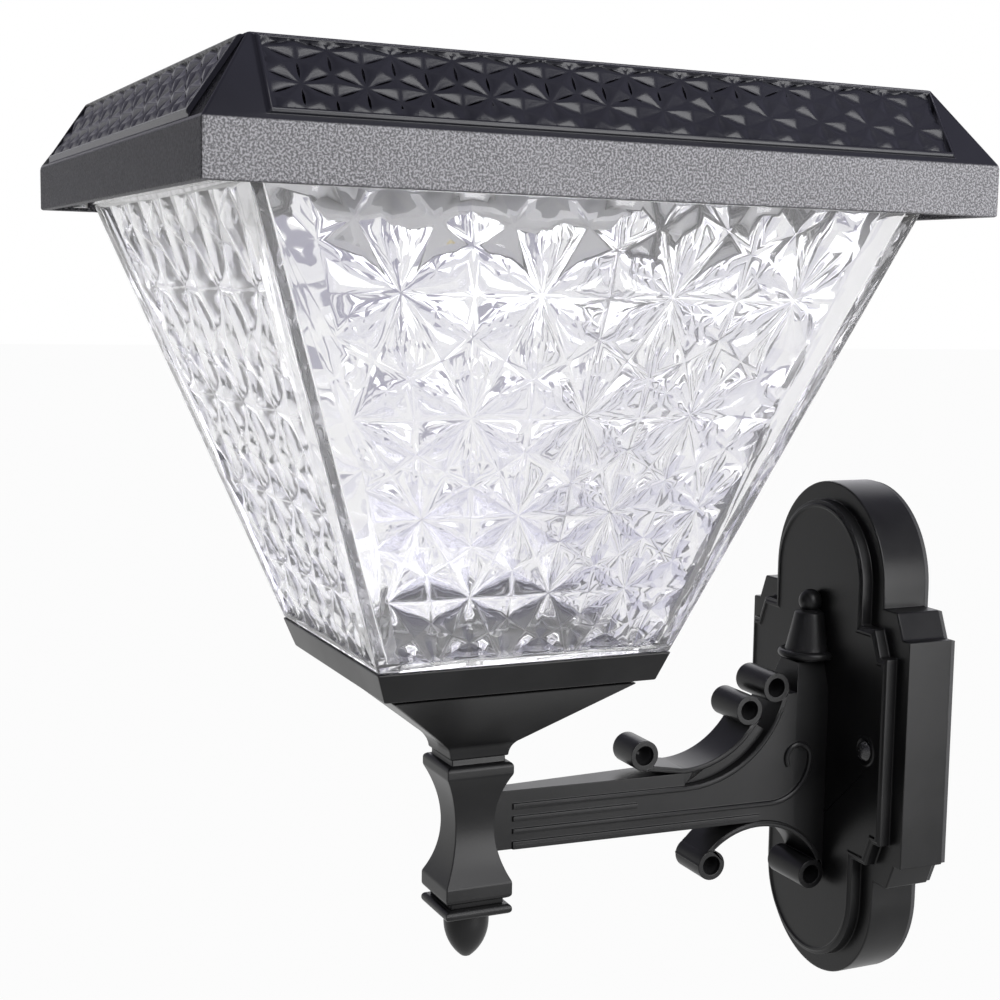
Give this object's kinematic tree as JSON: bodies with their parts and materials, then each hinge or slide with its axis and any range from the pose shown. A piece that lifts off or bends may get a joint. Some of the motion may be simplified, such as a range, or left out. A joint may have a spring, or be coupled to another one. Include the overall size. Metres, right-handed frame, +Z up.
{
  "type": "wall light",
  "caption": "Outdoor wall lantern: square solar cap, clear tapered star-pressed shade, waisted post and scroll bracket on a stepped wall plate.",
  "frame": {"origin": "centre of the wall plate's back, where it meets the wall", "axes": "+Z up, +Y into the wall, +X to the left as seen from the wall"},
  "size_m": [0.18, 0.214, 0.2399],
  "materials": {
    "cap_plastic": "charcoal, fine moulded grain",
    "bracket_coat": "satin black powder coat on an aluminium casting",
    "dome_screw_coat": "black coated screw",
    "clear_shade": "clear, pressed star pattern",
    "panel_front": "polished",
    "cell_blue": "dark blue with silver lines",
    "white_plastic": "smooth white",
    "seal_rubber": "matte",
    "clear_seal": "milky",
    "zinc_steel": "zinc plated",
    "board_green": "solder mask",
    "white_board": "white solder mask",
    "part_black": "moulded",
    "diode_yellow": "phosphor",
    "cell_sleeve": "shrink sleeve",
    "button_grey": "moulded"
  },
  "bodies": {
    "lantern": {"cap_shell": "cap_plastic", "panel_glass": "panel_front", "solar_cells": "cell_blue", "panel_backing": "white_board", "panel_seal": "seal_rubber", "cap_base": "white_plastic", "base_screws": "zinc_steel", "battery_holder": "part_black", "battery_cells": "cell_sleeve", "control_board": "board_green", "board_parts": "part_black", "board_screws": "zinc_steel", "led_board": "white_board", "leds": "diode_yellow", "led_screws": "zinc_steel", "reflector": "white_plastic", "switch_body": "part_black", "button_collar": "part_black", "shade": "clear_shade", "shade_seal": "clear_seal", "shade_screws": "zinc_steel", "tray": "bracket_coat", "tray_seal": "clear_seal", "cup": "bracket_coat", "cup_screws": "zinc_steel", "tie_rod": "zinc_steel", "tie_nut": "zinc_steel", "tie_washer": "zinc_steel", "post": "bracket_coat", "foot_plate": "bracket_coat", "acorn_finial": "bracket_coat", "arm": "bracket_coat", "arm_pins": "zinc_steel", "upper_scroll": "bracket_coat", "middle_scroll": "bracket_coat", "lower_scroll": "bracket_coat", "column_finial": "bracket_coat", "wall_plate": "bracket_coat", "column_screws": "zinc_steel", "mounting_strap": "zinc_steel", "strap_screws": "dome_screw_coat", "wall_gasket": "seal_rubber"},
    "button": {"push_button": "button_grey"}
  },
  "joints": [
    {"name": "button_press", "type": "slide", "parent": "lantern", "child": "button", "axis": [0, 0, 1], "range_m": [0, 0.001], "stiffness_N_per_m": 800, "springref_m": -0.0005}
  ]
}
